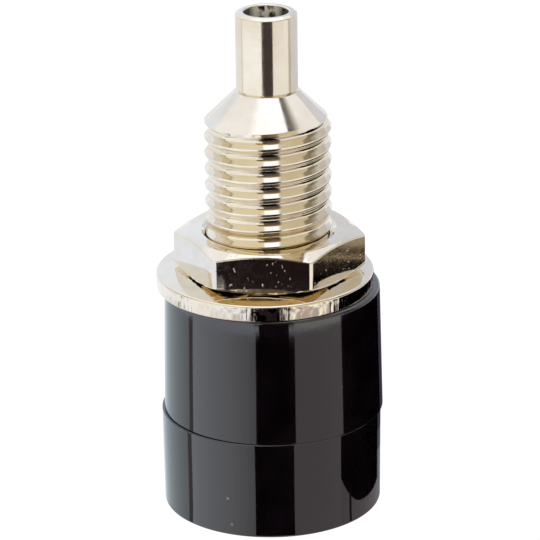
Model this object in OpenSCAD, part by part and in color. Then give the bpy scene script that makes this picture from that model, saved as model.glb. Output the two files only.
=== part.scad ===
// Insulated 4 mm panel socket for a banana plug.
// It stands on its front face, where the plug goes in, with the solder cup at the top.
// Millimetres. The origin is the middle of the front face, and +Z points from the plug side to the solder side.

/* [Plug and wire] */
// Diameter of the bore that takes the plug
plug_bore_d = 4; // [3.9:0.05:4.2]
// Depth of the plug bore's straight wall, from the sleeve's front face
plug_bore_depth = 16.8; // [14:0.1:17.2]
// Width of the lead-in chamfer at the mouth of the plug bore
plug_lead_in = 0.4; // [0.2:0.05:0.6]
// Inside diameter of the solder cup
cup_bore_d = 2.1; // [1.6:0.05:2.3]
// Depth of the solder cup's straight wall
cup_depth = 3.6; // [2.5:0.1:4]
// Width of the broken edges at the rim of the solder cup
cup_edge = 0.06; // [0.02:0.01:0.12]
// Full point angle of the drills that make both bores
drill_point_angle = 118; // [90:1:140]

/* [Contact sleeve] */
// Outside diameter of the threaded shank
thread_d = 6; // [5.8:0.05:6.5]
// Height of the shank that shows above the nut
thread_free = 5.4; // [4.5:0.1:7]
// Pitch of the thread
thread_pitch = 0.8; // [0.7:0.05:1]
// Depth of the thread
thread_depth = 0.22; // [0.14:0.01:0.26]
// Width of the thread's crest
thread_crest_w = 0.06; // [0.02:0.01:0.15]
// Width of the thread's groove at its floor
thread_floor_w = 0.04; // [0.02:0.01:0.1]
// Length of the shank that is threaded
thread_length = 10.4; // [9:0.1:11]
// Plain height between the thread and the cone
thread_runout = 0.12; // [0.06:0.02:0.5]
// Height of the cone between the shank and the solder cup
cone_h = 1.54; // [1:0.02:2]
// Outside diameter of the solder cup
cup_d = 2.92; // [2.6:0.02:3.4]
// Height of the solder cup above the cone
cup_h = 3.76; // [3:0.02:5]
// Diameter of the flange behind the front face
flange_d = 7.5; // [7:0.05:8]
// Thickness of the flange
flange_t = 1.2; // [0.8:0.05:1.5]
// Broken edge round the flange
flange_edge = 0.12; // [0.05:0.01:0.25]
// Depth of the flange below the front face
flange_recess = 1; // [0.6:0.05:1.4]

/* [Insulators] */
// Height of the front insulator in front of the panel
front_h = 4.8; // [4.2:0.1:6]
// Diameter of the front insulator at the front face
front_d = 10.5; // [10.3:0.02:11.5]
// Diameter of the front insulator at the panel
front_panel_d = 10.58; // [10.3:0.02:11.5]
// Diameter of the spigot that goes through the panel hole
spigot_d = 8; // [7.6:0.05:8.2]
// Length of the spigot behind the panel face
spigot_h = 3.9; // [3:0.1:4.4]
// Height of the rear insulator
rear_h = 6.2; // [5.8:0.1:8]
// Diameter of the rear insulator at the panel
rear_panel_d = 10.56; // [10.3:0.02:11.5]
// Diameter of the rear insulator under the washer
rear_d = 10.3; // [10.1:0.02:11.5]
// Edge radius of the mouldings
moulded_r = 0.18; // [0.08:0.01:0.3]
// Edge radius at the panel faces
panel_r = 0.06; // [0.05:0.01:0.2]

/* [Washer and nut] */
// Diameter of the washer
washer_d = 10.3; // [9.5:0.05:10.6]
// Thickness of the washer
washer_t = 0.85; // [0.6:0.05:1.2]
// Rounded edge of the washer
washer_r = 0.12; // [0.05:0.01:0.25]
// Width of the nut across its flats
nut_af = 8; // [7.6:0.05:9]
// Height of the nut
nut_h = 1.95; // [1.6:0.05:3]
// Diameter of the nut's bearing faces, where the chamfers start
nut_face_d = 7.7; // [7.2:0.05:7.8]
// Angle of the nut's chamfers to its faces
nut_chamfer_angle = 20; // [15:1:40]
// Diameter of the countersinks of the nut's thread
nut_sink_d = 6.7; // [6.4:0.05:7]
// Turn of the nut at rest
nut_turn = -5; // [-30:1:30]

/* [Fits] */
// Radial clearance of the nut on the shank
nut_clearance = 0.05; // [0.02:0.01:0.1]
// Radial clearance of the washer on the shank
washer_clearance = 0.36; // [0.2:0.01:0.45]
// Radial clearance of the insulators on the shank
shank_clearance = 0.25; // [0.15:0.01:0.3]
// Radial clearance of the spigot in the rear insulator
spigot_clearance = 0.18; // [0.1:0.01:0.3]
// Clearance at the end of the spigot
spigot_end_clearance = 0.2; // [0.1:0.05:0.5]
// Radial clearance of the flange in its counterbore
flange_clearance = 0.1; // [0.05:0.01:0.2]
// How far a loose piece lies to one side, as a share of its clearance
loose_share = 0.6; // [0:0.05:0.9]

/* [Hidden] */
$fn = 96;
// How far a cut runs past the face that it opens
overcut = 0.1;

// Heights of the faces where the pieces meet
seam_z = front_h;
rear_top_z = seam_z + rear_h;
washer_top_z = rear_top_z + washer_t;
nut_top_z = washer_top_z + nut_h;
cone_z = nut_top_z + thread_free;
cup_z = cone_z + cone_h;
top_z = cup_z + cup_h;
flange_seat_z = flange_recess + flange_t;

// The loose pieces lie to opposite sides of the axis
rear_shift = loose_share * min(spigot_clearance, shank_clearance);
washer_shift = -loose_share * washer_clearance;

// Radii of the holes, worked out from what goes through them
shank_r = thread_d / 2;
insulator_bore_r = shank_r + shank_clearance;
washer_bore_r = shank_r + washer_clearance;
nut_bore_r = shank_r + nut_clearance;
counterbore_r = flange_d / 2 + flange_clearance;
spigot_recess_r = spigot_d / 2 + spigot_clearance;

insulator_black = [0.04, 0.04, 0.045];
nickel = [0.80, 0.77, 0.71];

// Points of a rounded corner: a quarter circle that starts at the given angle
function corner(centre, r, from, steps = 6) =
    [for (i = [0:steps]) centre + r * [cos(from + 90 * i / steps), sin(from + 90 * i / steps)]];

// Height of the point that a drill of this radius leaves
function drill_point(r) = r / tan(drill_point_angle / 2);

// One turn of the thread as a ring: a groove with sloping flanks, from its lower edge to its upper
function thread_groove(top) =
    let (bottom = top - thread_pitch + thread_crest_w,
         rise = (top - bottom - thread_floor_w) / 2,
         root_r = shank_r - thread_depth)
    [[shank_r, bottom], [root_r, bottom + rise], [root_r, top - rise], [shank_r, top]];

// A turned or moulded piece from its half section, given as [radius, height] points
module revolved(half_section) {
    rotate_extrude() polygon(half_section);
}

// Front collar: the flange sits in its counterbore, and the spigot goes through the panel
module front_insulator() {
    spigot_top_z = seam_z + spigot_h;
    color(insulator_black)
    revolved(concat(
        corner([counterbore_r + moulded_r, moulded_r], moulded_r, 180),
        corner([front_d / 2 - moulded_r, moulded_r], moulded_r, 270),
        corner([front_panel_d / 2 - panel_r, seam_z - panel_r], panel_r, 0),
        [[spigot_d / 2, seam_z]],
        corner([spigot_d / 2 - panel_r, spigot_top_z - panel_r], panel_r, 0),
        [[insulator_bore_r, spigot_top_z],
         [insulator_bore_r, flange_seat_z],
         [counterbore_r, flange_seat_z]]));
}

// Rear collar: its recess takes the spigot, and its hole the shank
module rear_insulator() {
    recess_h = spigot_h + spigot_end_clearance;
    color(insulator_black)
    translate([rear_shift, 0, seam_z])
    revolved(concat(
        [[spigot_recess_r, 0]],
        corner([rear_panel_d / 2 - panel_r, panel_r], panel_r, 270),
        corner([rear_d / 2 - moulded_r, rear_h - moulded_r], moulded_r, 0),
        [[insulator_bore_r, rear_h],
         [insulator_bore_r, recess_h],
         [spigot_recess_r, recess_h]]));
}

// Turned contact: flange, threaded shank, cone and solder cup in one piece, drilled from both ends
module contact_sleeve() {
    plug_r = plug_bore_d / 2;
    plug_end_z = flange_recess + plug_bore_depth;
    cup_r = cup_d / 2;
    cup_bore_r = cup_bore_d / 2;
    cup_floor_z = top_z - cup_depth;
    groove_count = floor(thread_length / thread_pitch);
    color(nickel)
    revolved(concat(
        [[plug_r + plug_lead_in, flange_recess],
         [flange_d / 2 - flange_edge, flange_recess],
         [flange_d / 2, flange_recess + flange_edge],
         [flange_d / 2, flange_seat_z],
         [shank_r, flange_seat_z]],
        [for (i = [groove_count - 1:-1:0])
            each thread_groove(cone_z - thread_runout - i * thread_pitch)],
        [[shank_r, cone_z],
         [cup_r, cup_z],
         [cup_r, top_z - cup_edge],
         [cup_r - cup_edge, top_z],
         [cup_bore_r + cup_edge, top_z],
         [cup_bore_r, top_z - cup_edge],
         [cup_bore_r, cup_floor_z],
         [0, cup_floor_z - drill_point(cup_bore_r)],
         [0, plug_end_z + drill_point(plug_r)],
         [plug_r, plug_end_z],
         [plug_r, flange_recess + plug_lead_in]]));
}

// Plain washer with rounded edges, lying to one side of the shank
module washer() {
    color(nickel)
    translate([washer_shift, 0, rear_top_z])
    revolved(concat(
        [[washer_bore_r, 0]],
        corner([washer_d / 2 - washer_r, washer_r], washer_r, 270),
        corner([washer_d / 2 - washer_r, washer_t - washer_r], washer_r, 0),
        [[washer_bore_r, washer_t]]));
}

// Hexagon nut with chamfered corners and a countersunk thread at both ends
module nut() {
    corner_r = nut_af / 2 / cos(30);
    face_r = nut_face_d / 2;
    // The chamfering cone runs past the corners
    turned_r = corner_r + overcut;
    chamfer_h = (turned_r - face_r) * tan(nut_chamfer_angle);
    sink_r = nut_sink_d / 2;
    sink_h = sink_r - nut_bore_r;
    color(nickel)
    translate([0, 0, washer_top_z])
    difference() {
        intersection() {
            rotate(nut_turn) cylinder(r = corner_r, h = nut_h, $fn = 6);
            revolved([
                [0, 0],
                [face_r, 0],
                [turned_r, chamfer_h],
                [turned_r, nut_h - chamfer_h],
                [face_r, nut_h],
                [0, nut_h]]);
        }
        revolved([
            [0, -overcut],
            [sink_r + overcut, -overcut],
            [nut_bore_r, sink_h],
            [nut_bore_r, nut_h - sink_h],
            [sink_r + overcut, nut_h + overcut],
            [0, nut_h + overcut]]);
    }
}

front_insulator();
rear_insulator();
contact_sleeve();
washer();
nut();
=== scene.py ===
# Insulated panel socket for a 4 mm plug: its visible pieces, studio and camera
# Everything is modelled in millimetres and shrunk to metres when a piece is finished

import math
import random

import bmesh
import bpy
from mathutils import Matrix, Vector


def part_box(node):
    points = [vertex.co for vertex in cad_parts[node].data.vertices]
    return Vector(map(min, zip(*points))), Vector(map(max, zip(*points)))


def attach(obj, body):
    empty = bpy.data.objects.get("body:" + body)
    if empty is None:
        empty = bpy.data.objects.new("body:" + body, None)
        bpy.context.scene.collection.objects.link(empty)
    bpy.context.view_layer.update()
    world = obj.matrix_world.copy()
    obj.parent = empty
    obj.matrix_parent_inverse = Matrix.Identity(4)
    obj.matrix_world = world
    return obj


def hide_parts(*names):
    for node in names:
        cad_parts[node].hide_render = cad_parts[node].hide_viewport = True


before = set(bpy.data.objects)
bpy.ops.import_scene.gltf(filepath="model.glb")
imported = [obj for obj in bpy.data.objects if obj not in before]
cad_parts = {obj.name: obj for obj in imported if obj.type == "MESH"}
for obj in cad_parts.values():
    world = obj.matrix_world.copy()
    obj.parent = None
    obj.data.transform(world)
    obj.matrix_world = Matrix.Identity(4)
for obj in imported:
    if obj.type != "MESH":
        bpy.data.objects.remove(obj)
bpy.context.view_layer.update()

mm = 0.001
fullTurn = 2 * math.pi
upAxis = (0, 0, 1)
roundSteps = 192  # steps of a turned piece
weld = 0.0005  # points closer than this are one
slack = 0.01  # how far a point may lie from the radius or height that it is sorted by


def boxOf(nodeName):
    low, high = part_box(nodeName)
    return Vector(low) / mm, Vector(high) / mm


# Half section as a chain of points, each given as radius and height
def halfSection(bm, points, closed=True):
    corners = [bm.verts.new((r, 0, z)) for r, z in points]
    for start, end in zip(corners, corners[1:]):
        bm.edges.new((start, end))
    if closed:
        bm.edges.new((corners[-1], corners[0]))
    return corners


def roundOff(bm, corners, radius, segments=4):
    bmesh.ops.bevel(bm, geom=corners, offset=radius, offset_type="OFFSET", segments=segments,
                    profile=0.5, affect="VERTICES", material=-1)


def turnSection(bm, steps=roundSteps):
    bmesh.ops.spin(bm, geom=bm.verts[:] + bm.edges[:], cent=(0, 0, 0), axis=upAxis,
                   dvec=(0, 0, 0), angle=fullTurn, steps=steps, use_merge=True)
    bmesh.ops.remove_doubles(bm, verts=bm.verts[:], dist=weld)


# Moves the faces of one mesh into another
def joinInto(bm, other):
    carrier = bpy.data.meshes.new("carrier")
    other.to_mesh(carrier)
    other.free()
    bm.from_mesh(carrier)
    bpy.data.meshes.remove(carrier)


def openEdges(bm, height):
    return [e for e in bm.edges if len(e.link_faces) == 1
            and all(abs(v.co.z - height) < slack for v in e.verts)]


def fromAxis(place):
    return math.hypot(place.x, place.y)


# Moves a point away from the axis or towards it
def scaleOut(v, share):
    v.co.x *= share
    v.co.y *= share


sharpAngle = 38  # a steeper edge shows as a sharp one


def finishPiece(name, bm, materials, body, node):
    bmesh.ops.recalc_face_normals(bm, faces=bm.faces[:])
    loose = sum(1 for e in bm.edges if len(e.link_faces) != 2)
    rough = bpy.data.meshes.new(name + "Rough")
    bm.to_mesh(rough)
    bm.free()
    rough.shade_smooth()
    rough.set_sharp_from_angle(angle=math.radians(sharpAngle))
    for material in materials:
        rough.materials.append(material)
    piece = bpy.data.objects.new(name, rough)
    bpy.context.collection.objects.link(piece)
    # broad faces keep their own normals beside the small rounded ones
    weighted = piece.modifiers.new("weightedNormals", "WEIGHTED_NORMAL")
    weighted.keep_sharp = True
    weighted.weight = 100
    weighted.thresh = 0.002
    shown = piece.evaluated_get(bpy.context.evaluated_depsgraph_get())
    mesh = bpy.data.meshes.new_from_object(shown)
    piece.modifiers.clear()
    piece.data = mesh
    bpy.data.meshes.remove(rough)
    mesh.name = name
    mesh.transform(Matrix.Scale(mm, 4))
    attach(piece, body)
    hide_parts(node)
    print(name, "faces", len(mesh.polygons), "open edges", loose)


# Materials

def addNode(tree, kind, inputs=None, **settings):
    made = tree.nodes.new(kind)
    for key, value in settings.items():
        setattr(made, key, value)
    for key, value in (inputs or {}).items():
        made.inputs[key].default_value = value
    return made


# Object coordinates in millimetres, stretched by the given scale
def millimetres(tree, scale=(1, 1, 1)):
    place = addNode(tree, "ShaderNodeTexCoord")
    stretch = addNode(tree, "ShaderNodeMapping", {"Scale": tuple(s / mm for s in scale)})
    tree.links.new(place.outputs["Object"], stretch.inputs["Vector"])
    return stretch.outputs["Vector"]


def noise(tree, scale, stretch=(1, 1, 1), detail=3.0, roughness=0.55):
    made = addNode(tree, "ShaderNodeTexNoise",
                   {"Scale": scale, "Detail": detail, "Roughness": roughness})
    tree.links.new(millimetres(tree, stretch), made.inputs["Vector"])
    return made.outputs["Fac"]


def spread(tree, value, low, high, fromLow=0.3, fromHigh=0.7):
    made = addNode(tree, "ShaderNodeMapRange", {"From Min": fromLow, "From Max": fromHigh,
                                                "To Min": low, "To Max": high})
    tree.links.new(value, made.inputs["Value"])
    return made.outputs["Result"]


def colourRamp(tree, value, stops):
    made = addNode(tree, "ShaderNodeValToRGB")
    ramp = made.color_ramp
    while len(ramp.elements) < len(stops):
        ramp.elements.new(0.5)
    for element, (position, colour) in zip(ramp.elements, stops):
        element.position = position
        element.color = (*colour, 1)
    tree.links.new(value, made.inputs["Fac"])
    return made.outputs["Color"]


# Bumps in a row, each a height between 0 and 1 and its depth in millimetres
def bumps(tree, shader, heights):
    normal = None
    for height, depth in heights:
        bump = addNode(tree, "ShaderNodeBump", {"Strength": 1.0, "Distance": depth * mm})
        tree.links.new(height, bump.inputs["Height"])
        if normal:
            tree.links.new(normal, bump.inputs["Normal"])
        normal = bump.outputs["Normal"]
    tree.links.new(normal, shader.inputs["Normal"])


def newMaterial(name):
    material = bpy.data.materials.new(name)
    material.use_nodes = True
    tree = material.node_tree
    return material, tree, tree.nodes["Principled BSDF"]


# scales are waves to a millimetre, and depths are in millimetres
nickelFinish = dict(bright=(0.87, 0.79, 0.65), dull=(0.80, 0.71, 0.55), dullAt=0.3, brightAt=0.62,
                    cloudScale=0.7, smooth=0.03, rough=0.09, polishScale=3.0, pitScale=9.0,
                    speckleScale=4.5, speckleFrom=0.69, speckleTo=0.74)
# Inside of the cup: dark, middle and light are mottled tones, partly stain and partly painted glints; the
# dark tone also paints shade on both sides, and the near-white tone paints a highlight strip down the
# middle
stainAndPaintedLightFinish = dict(dark=(0.03, 0.022, 0.018), middle=(0.40, 0.33, 0.20), light=(1.0, 0.92, 0.70),
                   paintedGlint=(1.0, 0.98, 0.92), darkAt=0.42, middleAt=0.47, lightAt=0.53,
                   metal=0.35, scale=1.5, stretch=(1, 1, 0.7), smooth=0.25, rough=0.5, polishScale=5.0,
                   # painted shade on both sides: where it starts and ends across, and how dark it gets
                   crustScale=6.0, crustDepth=0.006, darkFrom=0.5, darkTo=0.8, paintedShadeShare=0.92,
                   # painted highlight strip down the middle: where it starts and ends across
                   paintedGlintFrom=0.03, paintedGlintTo=0.08)
mouldingFinish = dict(deep=(0.0018, 0.0006, 0.0013), faded=(0.0040, 0.0026, 0.0034), deepAt=0.35,
                      fadedAt=0.7, cloudScale=0.6, dust=(0.16, 0.15, 0.14), dustScale=0.55,
                      speckFrom=0.035, speckTo=0.06, chosenFrom=0.55, chosenTo=0.6,
                      smooth=0.035, rough=0.075, polishScale=2.5, refraction=1.58, gloss=1.0,
                      waveScale=0.5, waveStretch=(1, 1, 0.45), waveDepth=0.005,
                      grainScale=7.0, grainDepth=0.0003)


# Nickel plate over brass: cloudy colour, uneven polish and the tool's own lines
def nickelPlate(name, lines, lineDepth, pitDepth, speckle=0.0, wear=0.0):
    material, tree, shader = newMaterial(name)
    shader.inputs["Metallic"].default_value = 1.0
    cloud = noise(tree, nickelFinish["cloudScale"], detail=5.0)
    tint = colourRamp(tree, cloud, [(nickelFinish["dullAt"], nickelFinish["dull"]),
                                    (nickelFinish["brightAt"], nickelFinish["bright"])])
    tree.links.new(tint, shader.inputs["Base Color"])
    polish = spread(tree, noise(tree, nickelFinish["polishScale"], detail=4.0),
                    nickelFinish["smooth"] + wear, nickelFinish["rough"] + wear)
    tree.links.new(polish, shader.inputs["Roughness"])
    heights = [(noise(tree, 1.0, lines, detail=2.0), lineDepth),
               (noise(tree, nickelFinish["pitScale"], detail=3.0), pitDepth)]
    if speckle:
        spots = spread(tree, noise(tree, nickelFinish["speckleScale"], detail=1.0), 0.0, 1.0,
                       nickelFinish["speckleFrom"], nickelFinish["speckleTo"])
        heights.append((spots, speckle))
    bumps(tree, shader, heights)
    return material


# A few specks of dust, one in some of the cells
def dust(tree):
    cells = addNode(tree, "ShaderNodeTexVoronoi", {"Scale": mouldingFinish["dustScale"]})
    tree.links.new(millimetres(tree), cells.inputs["Vector"])
    speck = spread(tree, cells.outputs["Distance"], 1.0, 0.0,
                   mouldingFinish["speckFrom"], mouldingFinish["speckTo"])
    chosen = addNode(tree, "ShaderNodeSeparateColor")
    tree.links.new(cells.outputs["Color"], chosen.inputs["Color"])
    some = spread(tree, chosen.outputs["Red"], 0.0, 1.0,
                  mouldingFinish["chosenFrom"], mouldingFinish["chosenTo"])
    both = addNode(tree, "ShaderNodeMath", operation="MULTIPLY")
    tree.links.new(speck, both.inputs[0])
    tree.links.new(some, both.inputs[1])
    return both.outputs["Value"]


def glossMoulding(name):
    material, tree, shader = newMaterial(name)
    shader.inputs["IOR"].default_value = mouldingFinish["refraction"]
    shader.inputs["Specular IOR Level"].default_value = mouldingFinish["gloss"]
    cloud = noise(tree, mouldingFinish["cloudScale"], detail=4.0)
    tint = colourRamp(tree, cloud, [(mouldingFinish["deepAt"], mouldingFinish["deep"]),
                                    (mouldingFinish["fadedAt"], mouldingFinish["faded"])])
    dusty = addNode(tree, "ShaderNodeMix", data_type="RGBA")
    tree.links.new(dust(tree), dusty.inputs["Factor"])
    tree.links.new(tint, dusty.inputs["A"])
    dusty.inputs["B"].default_value = (*mouldingFinish["dust"], 1)
    tree.links.new(dusty.outputs["Result"], shader.inputs["Base Color"])
    polish = spread(tree, noise(tree, mouldingFinish["polishScale"], detail=5.0),
                    mouldingFinish["smooth"], mouldingFinish["rough"])
    tree.links.new(polish, shader.inputs["Roughness"])
    wave = noise(tree, mouldingFinish["waveScale"], mouldingFinish["waveStretch"], detail=1.0)
    grain = noise(tree, mouldingFinish["grainScale"], detail=2.0)
    bumps(tree, shader, [(wave, mouldingFinish["waveDepth"]), (grain, mouldingFinish["grainDepth"])])
    return material


# Inside of the solder cup: mottled tones that are partly stain and partly painted glints, painted shade
# towards both sides, a painted highlight strip down the middle, and little of the plate left
def stainedPlateWithPaintedLight(name):
    material, tree, shader = newMaterial(name)
    shader.inputs["Metallic"].default_value = stainAndPaintedLightFinish["metal"]
    stains = noise(tree, stainAndPaintedLightFinish["scale"], stainAndPaintedLightFinish["stretch"], detail=3.0, roughness=0.6)
    tint = colourRamp(tree, stains, [(stainAndPaintedLightFinish[tone + "At"], stainAndPaintedLightFinish[tone])
                                     for tone in ("dark", "middle", "light")])
    # painted shade darkens both sides, and a painted highlight runs as a strip down the middle
    sides = addNode(tree, "ShaderNodeSeparateXYZ")
    tree.links.new(millimetres(tree), sides.inputs["Vector"])
    off = addNode(tree, "ShaderNodeMath", operation="ABSOLUTE")
    tree.links.new(sides.outputs["X"], off.inputs[0])
    for paintedTone, inner, outer in (("dark", 0.0, stainAndPaintedLightFinish["paintedShadeShare"]), ("paintedGlint", 1.0, 0.0)):
        layer = addNode(tree, "ShaderNodeMix", data_type="RGBA")
        share = spread(tree, off.outputs["Value"], inner, outer,
                       stainAndPaintedLightFinish[paintedTone + "From"], stainAndPaintedLightFinish[paintedTone + "To"])
        tree.links.new(share, layer.inputs["Factor"])
        tree.links.new(tint, layer.inputs["A"])
        layer.inputs["B"].default_value = (*stainAndPaintedLightFinish[paintedTone], 1)
        tint = layer.outputs["Result"]
    tree.links.new(tint, shader.inputs["Base Color"])
    polish = spread(tree, noise(tree, stainAndPaintedLightFinish["polishScale"]),
                    stainAndPaintedLightFinish["smooth"], stainAndPaintedLightFinish["rough"])
    tree.links.new(polish, shader.inputs["Roughness"])
    bumps(tree, shader, [(noise(tree, stainAndPaintedLightFinish["crustScale"], detail=3.0), stainAndPaintedLightFinish["crustDepth"])])
    return material


turnedNickel = nickelPlate("turnedNickel", lines=(0.2, 0.2, 30), lineDepth=0.0008, pitDepth=0.0010,
                           wear=0.05)
# stain with painted glints, painted shade on both sides and a painted highlight strip, inside the solder
# cup
cupStainAndPaintedLight = stainedPlateWithPaintedLight("cupStainAndPaintedLight")
nutNickel = nickelPlate("nutNickel", lines=(2, 2, 9), lineDepth=0.0004, pitDepth=0.0006, speckle=0.004)
washerNickel = nickelPlate("washerNickel", lines=(3, 3, 3), lineDepth=0.003, pitDepth=0.0016, wear=0.02)
shearedNickel = nickelPlate("shearedNickel", lines=(16, 16, 0.6), lineDepth=0.004, pitDepth=0.0008)
blackMoulding = glossMoulding("blackMoulding")
print("materials ready")


# Insulators

collar = dict(frontRadius=5.25, panelRadius=5.29, seamHeight=4.8, spigotRadius=4.0, boreRadius=3.25,
              counterbore=3.85, seat=2.2, edge=0.1, panelEdge=0.06)


def frontInsulator():
    low, high = boxOf("front_insulator")
    seam = low.z + collar["seamHeight"]
    bm = bmesh.new()
    corners = halfSection(bm, [
        (collar["counterbore"], low.z), (collar["frontRadius"], low.z),
        (collar["panelRadius"], seam), (collar["spigotRadius"], seam),
        (collar["spigotRadius"], high.z), (collar["boreRadius"], high.z),
        (collar["boreRadius"], low.z + collar["seat"]), (collar["counterbore"], low.z + collar["seat"])])
    roundOff(bm, corners[0:2], collar["edge"], segments=6)
    roundOff(bm, [corners[2], corners[4]], collar["panelEdge"])
    turnSection(bm)
    finishPiece("frontCollar", bm, [blackMoulding], "socket", "front_insulator")


rearCollar = dict(panelRadius=5.28, topRadius=5.15, boreRadius=3.25, recessRadius=4.18, recess=4.1,
                  edge=0.16, panelEdge=0.06)


def rearInsulator():
    low, high = boxOf("rear_insulator")
    bm = bmesh.new()
    corners = halfSection(bm, [
        (rearCollar["recessRadius"], low.z), (rearCollar["panelRadius"], low.z),
        (rearCollar["topRadius"], high.z), (rearCollar["boreRadius"], high.z),
        (rearCollar["boreRadius"], low.z + rearCollar["recess"]),
        (rearCollar["recessRadius"], low.z + rearCollar["recess"])])
    roundOff(bm, [corners[1]], rearCollar["panelEdge"])
    roundOff(bm, [corners[2]], rearCollar["edge"], segments=6)
    turnSection(bm)
    middle = (low + high) / 2
    bmesh.ops.translate(bm, vec=(middle.x, middle.y, 0), verts=bm.verts[:])
    finishPiece("rearCollar", bm, [blackMoulding], "clamp", "rear_insulator")


# Thread with a V section: its flanks lean more towards the root, and one pitch is wound up the axis

thread = dict(pitch=0.8, flankLean=39, rootEdge=0.25, crestWidth=0.10, crestEdge=0.045,
              crestHeight=18.45, steps=120, spareTurns=2, weld=0.003)


def threadSheet(outerRadius, bottom, top):
    pitch = thread["pitch"]
    land = thread["crestWidth"] / 2
    depth = (pitch / 2 - land) * math.tan(math.radians(thread["flankLean"]))
    # the crest passes -X at crestHeight, so it passes +X half a pitch lower
    turnsDown = math.ceil((thread["crestHeight"] - bottom) / pitch) + thread["spareTurns"]
    crest = thread["crestHeight"] - pitch / 2 - turnsDown * pitch
    start = crest - pitch / 2
    bm = bmesh.new()
    corners = halfSection(bm, [
        (outerRadius, crest + land), (outerRadius - depth, crest + pitch / 2),
        (outerRadius, crest + pitch - land), (outerRadius, crest + pitch + land)], closed=False)
    roundOff(bm, [corners[1]], thread["rootEdge"], segments=9)
    roundOff(bm, [corners[2]], thread["crestEdge"], segments=3)
    bmesh.ops.spin(bm, geom=bm.verts[:] + bm.edges[:], cent=(0, 0, 0), axis=upAxis,
                   dvec=(0, 0, pitch / thread["steps"]), angle=fullTurn,
                   steps=thread["steps"], use_merge=False)
    # one turn is copied up the axis
    oneTurn = bm.verts[:] + bm.edges[:] + bm.faces[:]
    for i in range(1, math.ceil((top - start) / pitch) + 1):
        copied = bmesh.ops.duplicate(bm, geom=oneTurn)["geom"]
        bmesh.ops.translate(bm, vec=(0, 0, i * pitch),
                            verts=[v for v in copied if isinstance(v, bmesh.types.BMVert)])
    bmesh.ops.remove_doubles(bm, verts=bm.verts[:], dist=thread["weld"])
    return bm


def cutOff(bm, height, above):
    bmesh.ops.bisect_plane(bm, geom=bm.verts[:] + bm.edges[:] + bm.faces[:], dist=weld,
                           plane_co=(0, 0, height), plane_no=upAxis,
                           clear_outer=above, clear_inner=not above)


# Pulls what lies outside a bound in to it, or pushes what lies inside it out
def limitRadius(bm, limit, outside):
    for v in bm.verts:
        reach = fromAxis(v.co)
        bound = limit(v.co.z)
        if (reach > bound) == outside and reach != bound:
            scaleOut(v, bound / reach)


# Contact sleeve

sleeve = dict(shankRadius=3.0, threadStart=8.6, threadRelief=0.25, coneHeight=19.2, coneCut=20.0,
              joinGap=0.05, cupHeight=20.74, cupRadius=1.46, cupBore=1.05, cupDepth=3.6, neck=0.08,
              rimWidth=0.18, rimDrop=0.11, rimInner=0.08, rimEdge=0.03,
              flangeRadius=3.75, flange=1.2, flangeEdge=0.12, plugRadius=2.0, plugDepth=16.8,
              leadIn=0.4, drillAngle=118)


def contactSleeve():
    low, high = boxOf("contact_sleeve")
    point = 1 / math.tan(math.radians(sleeve["drillAngle"] / 2))  # height of a drill's point to its radius
    fall = (sleeve["shankRadius"] - sleeve["cupRadius"]) / (sleeve["cupHeight"] - sleeve["coneHeight"])

    def coneRadius(height):
        return sleeve["shankRadius"] - max(0, height - sleeve["coneHeight"]) * fall

    bm = threadSheet(sleeve["shankRadius"], sleeve["threadStart"], sleeve["coneCut"])
    cutOff(bm, sleeve["threadStart"], above=False)
    cutOff(bm, sleeve["coneCut"], above=True)
    limitRadius(bm, coneRadius, outside=True)

    # solder cup on the cone
    upper = bmesh.new()
    step = sleeve["joinGap"]
    floor = high.z - sleeve["cupDepth"]
    corners = halfSection(upper, [
        (coneRadius(sleeve["coneCut"] + step), sleeve["coneCut"] + step),
        (sleeve["cupRadius"], sleeve["cupHeight"]), (sleeve["cupRadius"], high.z - sleeve["rimDrop"]),
        (sleeve["cupRadius"] - sleeve["rimWidth"], high.z),
        (sleeve["cupBore"], high.z), (sleeve["cupBore"], floor),
        (0, floor - sleeve["cupBore"] * point)], closed=False)
    roundOff(upper, [corners[1]], sleeve["neck"])
    roundOff(upper, [corners[4]], sleeve["rimInner"])
    roundOff(upper, corners[2:4], sleeve["rimEdge"], segments=2)
    turnSection(upper, thread["steps"])

    # shank, flange and plug bore below the thread
    lower = bmesh.new()
    seat = low.z + sleeve["flange"]
    bore = sleeve["plugRadius"]
    corners = halfSection(lower, [
        (sleeve["shankRadius"] - sleeve["threadRelief"], sleeve["threadStart"] - step),
        (sleeve["shankRadius"], sleeve["threadStart"] - step - sleeve["threadRelief"]),
        (sleeve["shankRadius"], seat), (sleeve["flangeRadius"], seat),
        (sleeve["flangeRadius"], low.z), (bore + sleeve["leadIn"], low.z),
        (bore, low.z + sleeve["leadIn"]), (bore, low.z + sleeve["plugDepth"]),
        (0, low.z + sleeve["plugDepth"] + bore * point)], closed=False)
    roundOff(lower, [corners[4]], sleeve["flangeEdge"])
    turnSection(lower, thread["steps"])

    joinInto(bm, upper)
    joinInto(bm, lower)
    for height, offset in ((sleeve["coneCut"], step), (sleeve["threadStart"], -step)):
        rims = openEdges(bm, height) + openEdges(bm, height + offset)
        bmesh.ops.bridge_loops(bm, edges=rims)
    for face in bm.faces:
        middle = face.calc_center_median()
        inCup = middle.z > floor - sleeve["cupBore"] and middle.z < high.z - sleeve["rimInner"]
        if inCup and fromAxis(middle) < sleeve["cupBore"] + slack:
            face.material_index = 1
    finishPiece("contactSleeve", bm, [turnedNickel, cupStainAndPaintedLight], "socket", "contact_sleeve")


# Washer, sheared from sheet: rolled top edge and striped rim

washer = dict(outerRadius=5.19, boreRadius=3.36, topEdge=0.1, bottomEdge=0.06, boreEdge=0.06,
              rollWidth=0.8, rollDrop=0.1, rollEdge=0.32, rimRows=(0.3, 0.5), rimSteps=480, rimSkin=0.03,
              stripeDepth=0.016, stripeSpread=(-1, 0.2), rowSpread=(0.3, 1.2), seed=7)


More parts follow.
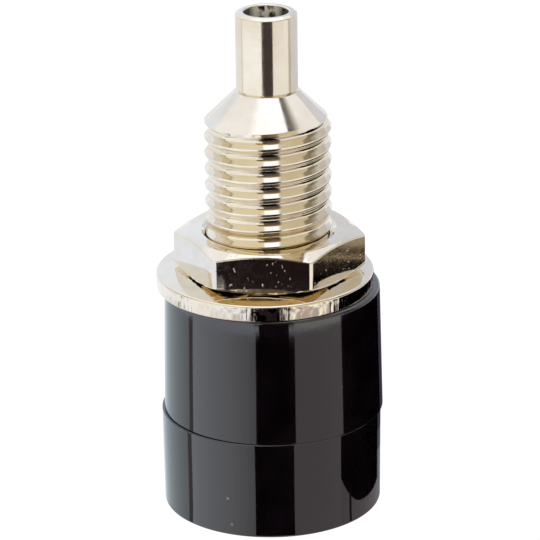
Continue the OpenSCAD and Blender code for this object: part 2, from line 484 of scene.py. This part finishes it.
def plainWasher():
    low, high = boxOf("washer")
    middle = (low + high) / 2
    outer = washer["outerRadius"]
    bm = bmesh.new()
    corners = halfSection(bm, [
        (washer["boreRadius"], low.z), (outer, low.z), *((outer, low.z + row) for row in washer["rimRows"]),
        (outer, high.z - washer["rollDrop"]), (outer - washer["rollWidth"], high.z),
        (washer["boreRadius"], high.z)])
    roundOff(bm, [corners[4]], washer["topEdge"], segments=5)
    roundOff(bm, [corners[5]], washer["rollEdge"], segments=6)
    roundOff(bm, [corners[1]], washer["bottomEdge"], segments=3)
    roundOff(bm, [corners[0], corners[6]], washer["boreEdge"], segments=3)
    turnSection(bm, washer["rimSteps"])
    # stripes that the shears leave down the rim, each a little uneven
    draw = random.Random(washer["seed"])
    stripes = [draw.uniform(*washer["stripeSpread"]) * washer["stripeDepth"]
               for _ in range(washer["rimSteps"])]
    for v in bm.verts:
        if fromAxis(v.co) > outer - 2 * weld:
            column = round(math.atan2(v.co.y, v.co.x) / fullTurn * washer["rimSteps"])
            stripe = draw.uniform(*washer["rowSpread"]) * stripes[column % washer["rimSteps"]]
            scaleOut(v, 1 + stripe / outer)
    for face in bm.faces:
        onRim = fromAxis(face.calc_center_median()) > outer - washer["rimSkin"]
        face.material_index = 1 if onRim else 0
    bmesh.ops.translate(bm, vec=(middle.x, middle.y, 0), verts=bm.verts[:])
    finishPiece("plainWasher", bm, [washerNickel, shearedNickel], "clamp", "washer")


# Hexagon nut, chamfered at both ends

nut = dict(acrossFlats=8.0, faceRadius=3.85, faceEdge=0.02, chamferAngle=20, sinkRadius=3.22, lip=0.05,
           turn=-5, cornerEdge=0.18, cornerSteps=4, flatSteps=12, rimEdge=0.09, threadGap=0.04,
           burr=0.09, burrBand=(0.15, 0.6), burrSpread=(0.45, 1), seed=11)
halfFlats = 12  # six flats, each with two halves
halfAngle = fullTurn / halfFlats


# Angle of a point from the middle of its flat
def flatAngle(v):
    return math.atan2(v.co.y, v.co.x) % (2 * halfAngle) - halfAngle


# From the axis to the hexagon with its rounded corners
def hexReach(angle):
    flat = nut["acrossFlats"] / 2
    edgeRadius = nut["cornerEdge"] * math.tan(2 * halfAngle)
    centre = (flat - edgeRadius) / math.cos(halfAngle)
    offCorner = halfAngle - abs(angle)
    if flat * math.tan(abs(angle)) < flat * math.tan(halfAngle) - nut["cornerEdge"]:
        return flat / math.cos(angle)
    return centre * math.cos(offCorner) + math.sqrt(edgeRadius ** 2 - (centre * math.sin(offCorner)) ** 2)


def hexNut():
    low, high = boxOf("nut")
    middle = (low.z + high.z) / 2
    slope = math.tan(math.radians(nut["chamferAngle"]))
    halfSteps = nut["flatSteps"] + nut["cornerSteps"]
    bm = bmesh.new()
    # a narrow strip on each side of the chamfer's crease keeps the broad faces' normals apart
    crease = [nut["faceRadius"] + side * nut["faceEdge"] for side in (-1, 0, 1)]
    rings = [nut["sinkRadius"] + nut["lip"], *crease, hexReach(halfAngle)]
    halfSection(bm, [(r, high.z) for r in rings] + [(r, low.z) for r in reversed(rings)], closed=False)
    turnSection(bm, halfFlats * halfSteps)
    hexVerts = set(v for v in bm.verts if fromAxis(v.co) > crease[-1] + slack)
    # the outer ring becomes the hexagon, and the steps lie closer together round its corners
    cornerStart = math.atan(math.tan(halfAngle) - nut["cornerEdge"] / (nut["acrossFlats"] / 2))
    for v in bm.verts:
        angle = flatAngle(v)
        count = abs(angle) / halfAngle * halfSteps
        cornerShare = max(0, count - nut["flatSteps"]) / nut["cornerSteps"]
        placed = cornerStart * min(1, count / nut["flatSteps"]) + (halfAngle - cornerStart) * cornerShare
        around = math.atan2(v.co.y, v.co.x) - angle + math.copysign(placed, angle)
        reach = hexReach(placed) if v in hexVerts else fromAxis(v.co)
        drop = max(0, reach - nut["faceRadius"]) * slope
        v.co = Vector((reach * math.cos(around), reach * math.sin(around),
                       v.co.z + (drop if v.co.z < middle else -drop)))
    rims = [e for e in bm.edges if hexVerts.issuperset(e.verts)
            and (e.verts[0].co.z - middle) * (e.verts[1].co.z - middle) > 0]
    rounded = bmesh.ops.bevel(bm, geom=rims, offset=nut["rimEdge"], offset_type="OFFSET", segments=2,
                              profile=0.5, affect="EDGES", material=-1)
    # uneven burr along the lower edge
    draw = random.Random(nut["seed"])
    inner, outer = (share * nut["rimEdge"] for share in nut["burrBand"])
    for v in rounded["verts"]:
        reach = fromAxis(v.co)
        if v.co.z < middle and inner < hexReach(flatAngle(v)) - reach < outer:
            scaleOut(v, 1 + draw.uniform(*nut["burrSpread"]) * nut["burr"] / reach)
    bmesh.ops.rotate(bm, cent=(0, 0, 0), verts=bm.verts[:],
                     matrix=Matrix.Rotation(math.radians(nut["turn"]), 3, "Z"))

    def sinkBound(height):
        return nut["sinkRadius"] - min(height - low.z, high.z - height)

    bore = threadSheet(sleeve["shankRadius"] + nut["threadGap"], low.z, high.z)
    cutOff(bore, low.z, above=False)
    cutOff(bore, high.z, above=True)
    limitRadius(bore, sinkBound, outside=False)
    joinInto(bm, bore)
    for height in (low.z, high.z):
        bmesh.ops.bridge_loops(bm, edges=openEdges(bm, height))
    finishPiece("hexNut", bm, [nutNickel], "nut", "nut")


frontInsulator()
rearInsulator()
contactSleeve()
plainWasher()
hexNut()
print("pieces ready")


# Studio

studio = dict(floorRadius=3000, floorDrop=0.02, floorLight=0.9, worldLight=1.05,
              worldTint=(0.95, 0.98, 1.10), backdropWhite=1.06, overhead=(1.25, 1.35, 1.6),
              overheadHeight=250, overheadReach=(-170, 130), flagReach=(-170, 60),
              roomCentre=(0, 0, 16), roomRadius=150,
              floorStep=4, bentStep=0.6, roomStep=6)
cardHeight, flagHeight, lineHeight = 0.05, 0.10, 0.12  # on the floor, a higher card covers a lower one
collarWall, threadWall, cupWall = 5.25, 3, 1.5  # radii of the round walls that mirror the cards
# distances on the floor, from the wall, where the reflection in one piece ends and the next begins
collarReach, rightReach, rimReach, nutReach = 29.2, 29.8, 31.5, 38
crestNear, cupNear, cupFar, frontReach, valleyReach = 38.4, 59, 88, 100, 160
# angles at the wall, from the middle: edges of the dark strip in front, on the collars, rim and thread
frontLeft, frontRight = -9, 11.5
rimFrontLeft, rimFrontRight = -7.3, 8.5
threadLeft, threadRight = -6, 10.5
# the gap on the left, the nut's right corner, and the sides where the walls turn away
leftGap, cornerSide, farSide, edgeSide = -50, 44, 85, 89
roomFoot = -6  # elevation at which the room begins
# lights of the room that run on from card to card
leftLow, leftMiddle, leftHigh = (0.78, 0.75, 0.65), (0.80, 0.765, 0.64), (0.83, 0.765, 0.60)
rightLow, rightHigh = (0.62, 0.56, 0.41), (0.66, 0.59, 0.42)
leftFade, flagFade = (0.795, 0.81, 0.86), (0.17, 0.16, 0.155)


def lightMaterial(name, light):
    material = bpy.data.materials.new(name)
    material.use_nodes = True
    tree = material.node_tree
    tree.nodes.clear()
    glow = addNode(tree, "ShaderNodeEmission", {"Color": (*light, 1), "Strength": 1.0})
    output = addNode(tree, "ShaderNodeOutputMaterial")
    tree.links.new(glow.outputs["Emission"], output.inputs["Surface"])
    return material


# Light that each corner of a card sets for itself
def fadeMaterial(name):
    material = lightMaterial(name, (1, 1, 1))
    tree = material.node_tree
    fade = addNode(tree, "ShaderNodeAttribute", attribute_name="light")
    tree.links.new(fade.outputs["Color"], tree.nodes["Emission"].inputs["Color"])
    return material


# Strength of a backdrop: white to the camera, dimmer to the pieces that mirror it
def backdropStrength(tree, mirrored, target):
    path = addNode(tree, "ShaderNodeLightPath")
    strength = addNode(tree, "ShaderNodeMapRange", {"To Min": mirrored, "To Max": studio["backdropWhite"]})
    tree.links.new(path.outputs["Is Camera Ray"], strength.inputs["Value"])
    tree.links.new(strength.outputs["Result"], target)


def stageObject(name, bm, material):
    bmesh.ops.scale(bm, vec=(mm, mm, mm), verts=bm.verts[:])
    mesh = bpy.data.meshes.new(name)
    bm.to_mesh(mesh)
    bm.free()
    mesh.materials.append(material)
    staged = bpy.data.objects.new(name, mesh)
    bpy.context.collection.objects.link(staged)
    return staged


# Card that shows only as a reflection in the pieces
# Its shares across and up, each from 0 to 1, give every corner its place and its light
def lightCard(name, across, up, place, tint):
    bm = bmesh.new()
    tone = bm.verts.layers.float_color.new("light")
    bmesh.ops.create_grid(bm, size=0.5, x_segments=max(1, math.ceil(across)),
                          y_segments=max(1, math.ceil(up)))
    for v in bm.verts:
        u, w = v.co.x + 0.5, v.co.y + 0.5
        v.co = place(u, w)
        v[tone] = (*tint(u, w), 1)
    card = stageObject(name, bm, fadeMaterial(name))
    card.visible_camera = False
    card.visible_diffuse = False
    card.visible_shadow = False
    card.visible_transmission = False


def between(low, high, share):
    return low + (high - low) * share


# On the floor, between two directions that a round wall at the axis mirrors to the camera
# The ends are distances from the wall, which may change with the angle
def floorCard(name, fromAngle, toAngle, near, far, light, lightTo=None, wall=collarWall, height=cardHeight):
    def place(u, w):
        angle = between(fromAngle, toAngle, u)
        facing = math.radians(angle)
        ends = [end(angle) if callable(end) else end for end in (near, far)]
        foot = Vector((math.sin(facing), -math.cos(facing), 0)) * wall
        away = Vector((math.sin(2 * facing), -math.cos(2 * facing), 0))
        return foot + away * between(*ends, w) + Vector((0, 0, height))

    def tint(u, w):
        return Vector(light).lerp(Vector(lightTo or light), u)

    step = studio["bentStep"] if callable(near) or callable(far) else studio["floorStep"]
    lightCard(name, (toAngle - fromAngle) / step, 1, place, tint)


# Part of the room round the object, between two directions and two elevations
# Direction 0 is the camera's side and 90 the right; the top may slope
def roomCard(name, fromDirection, toDirection, low, high, lightLow, lightHigh=None, highTo=None):
    def place(u, w):
        facing = math.radians(between(fromDirection, toDirection, u))
        top = between(high, high if highTo is None else highTo, u)
        rise = math.radians(between(low, top, w))
        level = math.cos(rise)
        away = Vector((math.sin(facing) * level, -math.cos(facing) * level, math.sin(rise)))
        return Vector(studio["roomCentre"]) + away * studio["roomRadius"]

    def tint(u, w):
        return Vector(lightLow).lerp(Vector(lightHigh or lightLow), w)

    lightCard(name, (toDirection - fromDirection) / studio["roomStep"], (high - low) / studio["roomStep"],
              place, tint)


# Level card above the object, which may change its light from left to right
def overheadCard(name, left, right, light, lightTo=None, reach=studio["overheadReach"]):
    def place(u, w):
        return Vector((between(left, right, u), between(*reach, w), studio["overheadHeight"]))

    def tint(u, w):
        return Vector(light).lerp(Vector(lightTo or light), u)

    lightCard(name, 1, 1, place, tint)


def paleFloor():
    bm = bmesh.new()
    bmesh.ops.create_circle(bm, cap_ends=True, radius=studio["floorRadius"], segments=64)
    bmesh.ops.translate(bm, vec=(0, 0, -studio["floorDrop"]), verts=bm.verts[:])
    material = lightMaterial("paleFloor", (1, 1, 1))
    tree = material.node_tree
    backdropStrength(tree, studio["floorLight"], tree.nodes["Emission"].inputs["Strength"])
    # clear from below, so that the front face can be looked at
    side = addNode(tree, "ShaderNodeNewGeometry")
    clear = addNode(tree, "ShaderNodeBsdfTransparent")
    blend = addNode(tree, "ShaderNodeMixShader")
    tree.links.new(side.outputs["Backfacing"], blend.inputs["Fac"])
    tree.links.new(tree.nodes["Emission"].outputs["Emission"], blend.inputs[1])
    tree.links.new(clear.outputs["BSDF"], blend.inputs[2])
    tree.links.new(blend.outputs["Shader"], tree.nodes["Material Output"].inputs["Surface"])
    stageObject("paleFloor", bm, material)


def softSky():
    world = bpy.data.worlds.new("softSky")
    world.use_nodes = True
    background = world.node_tree.nodes["Background"]
    background.inputs["Color"].default_value = (*studio["worldTint"], 1)
    backdropStrength(world.node_tree, studio["worldLight"], background.inputs["Strength"])
    bpy.context.scene.world = world


# Dark band on the right of the collars, with a rounded lower end
band = dict(left=38.7, right=75.5, middle=57, halfWidth=18.5, end=1.8, leftRise=3.6, rightRise=0.9,
            curve=2.5)


def bandEnd(angle):
    bend = abs(angle - band["middle"]) / band["halfWidth"]
    rise = band["leftRise"] if angle < band["middle"] else band["rightRise"]
    return band["end"] + rise * bend ** band["curve"]


paleFloor()
softSky()
# near the collars
floorCard("frontFlag", frontLeft, frontRight, 0, collarReach, (0, 0, 0), height=flagHeight)
floorCard("rimFlag", rimFrontLeft, rimFrontRight, collarReach, rimReach, (0.02, 0.015, 0.02),
          height=flagHeight)
floorCard("edgeFlag", band["right"], edgeSide, 8.5, rimReach, (0.085, 0.076, 0.13), height=flagHeight)
floorCard("edgeHalf", band["right"], edgeSide, 6, 8.5, (0.16, 0.165, 0.21), height=flagHeight)
floorCard("edgeLow", band["right"], edgeSide, 0, 6, (0.28, 0.325, 0.383), height=flagHeight)
floorCard("thinGap", leftGap, -47, 0, collarReach, (0.27, 0.24, 0.24), height=flagHeight)
floorCard("leftCard", -47, -24, 0, collarReach, (1.02, 1.07, 1.15), leftFade)
floorCard("innerLeftCard", -24, frontLeft, 0, collarReach, leftFade, (0.51, 0.49, 0.50))
floorCard("backLeftCard", -farSide, leftGap, 0, collarReach, (1.03, 1.16, 1.24), (0.67, 0.75, 0.80))
floorCard("rightCard", frontRight, band["left"], 0, rightReach, (0.457, 0.40, 0.41), (0.484, 0.425, 0.435))
floorCard("sideFlag", band["left"], band["right"], bandEnd, rimReach, (0, 0, 0), height=flagHeight)
floorCard("lowRight", band["left"], band["right"], 0, 5.6, (0.42, 0.37, 0.38))
floorCard("lowGap", 44.5, 46.1, 0, 3.4, (0.03, 0.02, 0.03), height=lineHeight)
# round the washer's rim and the nut
floorCard("rimLeft", -farSide, rimFrontLeft, collarReach, rimReach, (1.0, 1.03, 1.18))
floorCard("rimRight", rimFrontRight, band["left"], rightReach, rimReach, (1.12, 1.10, 1.04))
floorCard("nutFlag", -10, frontRight, 30.7, nutReach, (0.012, 0.007, 0.009), height=flagHeight)
floorCard("nutLeft", -farSide, -10, rimReach, nutReach, (0.88, 0.96, 1.18))
floorCard("nutCorner", frontRight, cornerSide, rimReach, 37.5, (1.0, 0.98, 1.0))
floorCard("nutRightLow", cornerSide, farSide, 28, 34.3, (0.015, 0.01, 0.01))
floorCard("nutRightLine", cornerSide, farSide, 34.3, 34.5, (0.95, 0.80, 0.50))
floorCard("nutRightMiddle", cornerSide, farSide, 34.5, 36.2, (0.06, 0.04, 0.03))
floorCard("nutRight", cornerSide, farSide, 36.2, 40, (0.33, 0.29, 0.22))
# round the solder cup
floorCard("cupFlag", frontLeft, frontRight, nutReach, frontReach, (0.054, 0.04, 0.042), wall=cupWall)
floorCard("farBackLeft", -farSide, -53, cupNear, cupFar, (0.87, 0.90, 0.99), wall=cupWall)
floorCard("farLeftGap", -53, leftGap, cupNear, cupFar, (0.76, 0.71, 0.64), wall=cupWall)
floorCard("farLeft", leftGap, frontLeft, cupNear, cupFar, (1.0, 1.05, 1.15), (1.08, 1.12, 1.22),
          wall=cupWall)
floorCard("farRight", frontRight, cornerSide, cupNear, cupFar, (0.94, 0.94, 0.96), wall=cupWall)
floorCard("farGap", cornerSide, 50, cupNear, cupFar, (0.53, 0.49, 0.43), wall=cupWall)
floorCard("farBackRight", 50, farSide, cupNear, cupFar, (0.69, 0.71, 0.80), wall=cupWall)
# on the crests and in the valleys of the thread
floorCard("crestLeft", leftGap, threadLeft, crestNear, cupNear, (1.15, 1.20, 1.28), wall=threadWall)
floorCard("crestRight", threadRight, 40, crestNear, cupNear, (1.0, 1.02, 1.08), wall=threadWall)
floorCard("valleyFlag", threadLeft, threadRight, frontReach, valleyReach, (0.09, 0.08, 0.08),
          wall=threadWall)
floorCard("valleyLeft", leftGap, threadLeft, cupFar, valleyReach, (0.73, 0.68, 0.54), wall=threadWall)
floorCard("valleyRight", threadRight, 34, cupFar, valleyReach, (0.63, 0.56, 0.39), wall=threadWall)
# the room, which the flanks of the thread mirror
roomCard("roomBackLeft", -125, -106, roomFoot, 27, (0.76, 0.75, 0.74), highTo=40)
roomCard("roomSideLeft", -106, -90, roomFoot, 39, (0.66, 0.62, 0.51), (0.67, 0.60, 0.44), highTo=44.7)
roomCard("roomGap", -90, -87, roomFoot, 44.7, (0.22, 0.19, 0.14), highTo=45.8)
roomCard("roomBandLeft", -87, -11, roomFoot, 9, (1.08, 1.06, 1.0))
roomCard("roomFarLeft", -87, -50, 9, 45.8, leftLow, leftHigh, highTo=59)
roomCard("roomLeftLow", -50, -24, 9, 30, leftLow, leftMiddle)
roomCard("roomLeftFoot", -24, -11, 9, 14, leftLow)
roomCard("roomLeft", -50, -24, 30, 59, leftMiddle, leftHigh, highTo=60.6)
roomCard("roomLeftTop", -24, -17, 52, 60.6, leftHigh, highTo=61)
roomCard("roomFrontLow", -11, 21, roomFoot, 14, (0.09, 0.075, 0.07), (0.14, 0.10, 0.065))
roomCard("roomFrontEdge", -24, -4, 14, 30, (0.04, 0.03, 0.025), (0.09, 0.065, 0.035))
roomCard("roomFrontGold", -24, -4, 30, 52, (0.50, 0.37, 0.17), (0.85, 0.67, 0.34))
roomCard("roomFront", -4, 21, 14, 48, (0.11, 0.075, 0.045), (0.42, 0.31, 0.18))
roomCard("roomRight", 21, 50, roomFoot, 61, rightLow, rightHigh, highTo=59)
roomCard("roomFarRight", 50, 78, roomFoot, 59, rightLow, rightHigh, highTo=49)
roomCard("roomBrown", 78, 95, roomFoot, 49, (0.20, 0.165, 0.125), (0.28, 0.235, 0.17), highTo=43)
roomCard("roomSideRight", 95, 104, roomFoot, 43, (0.38, 0.35, 0.30), (0.42, 0.38, 0.32), highTo=40)
roomCard("roomBackRight", 104, 130, roomFoot, 40, (0.60, 0.60, 0.61), highTo=26)
roomCard("backRightCard", 130, 180, 5, 40, (0.71, 0.75, 0.90))
roomCard("backLeftSky", 180, 235, 5, 40, (0.87, 0.96, 1.15))
overheadCard("overheadFade", -110, -50, (1.0, 1.03, 1.15), studio["overhead"])
overheadCard("overheadCard", -50, 108, studio["overhead"])
overheadCard("overheadFlag", 108, 140, (0.13, 0.12, 0.12), flagFade, studio["flagReach"])
overheadCard("overheadFlagFade", 140, 185, flagFade, (0.95, 0.95, 1.0), studio["flagReach"])

lens = dict(distance=160.0, elevation=20.56, target=(0.02, 0, 11.64), roll=-0.8,
            focal=223.3, sensor=36, clipStart=0.005, clipEnd=20)


def photoCamera():
    data = bpy.data.cameras.new("photoCamera")
    data.lens = lens["focal"]
    data.sensor_width = lens["sensor"]
    data.clip_start = lens["clipStart"]
    data.clip_end = lens["clipEnd"]
    camera = bpy.data.objects.new("photoCamera", data)
    bpy.context.collection.objects.link(camera)
    rise = math.radians(lens["elevation"])
    target = Vector(lens["target"])
    back = Vector((0, -math.cos(rise), math.sin(rise)))
    camera.location = (target + back * lens["distance"]) * mm
    turnUp = Matrix.Rotation(math.pi / 2 - rise, 4, "X")
    camera.rotation_euler = (turnUp @ Matrix.Rotation(math.radians(lens["roll"]), 4, "Z")).to_euler()
    bpy.context.scene.camera = camera


photoCamera()
bpy.context.scene.view_settings.view_transform = "Standard"
bpy.context.scene.view_settings.look = "None"
print("studio ready")

bpy.context.view_layer.update()
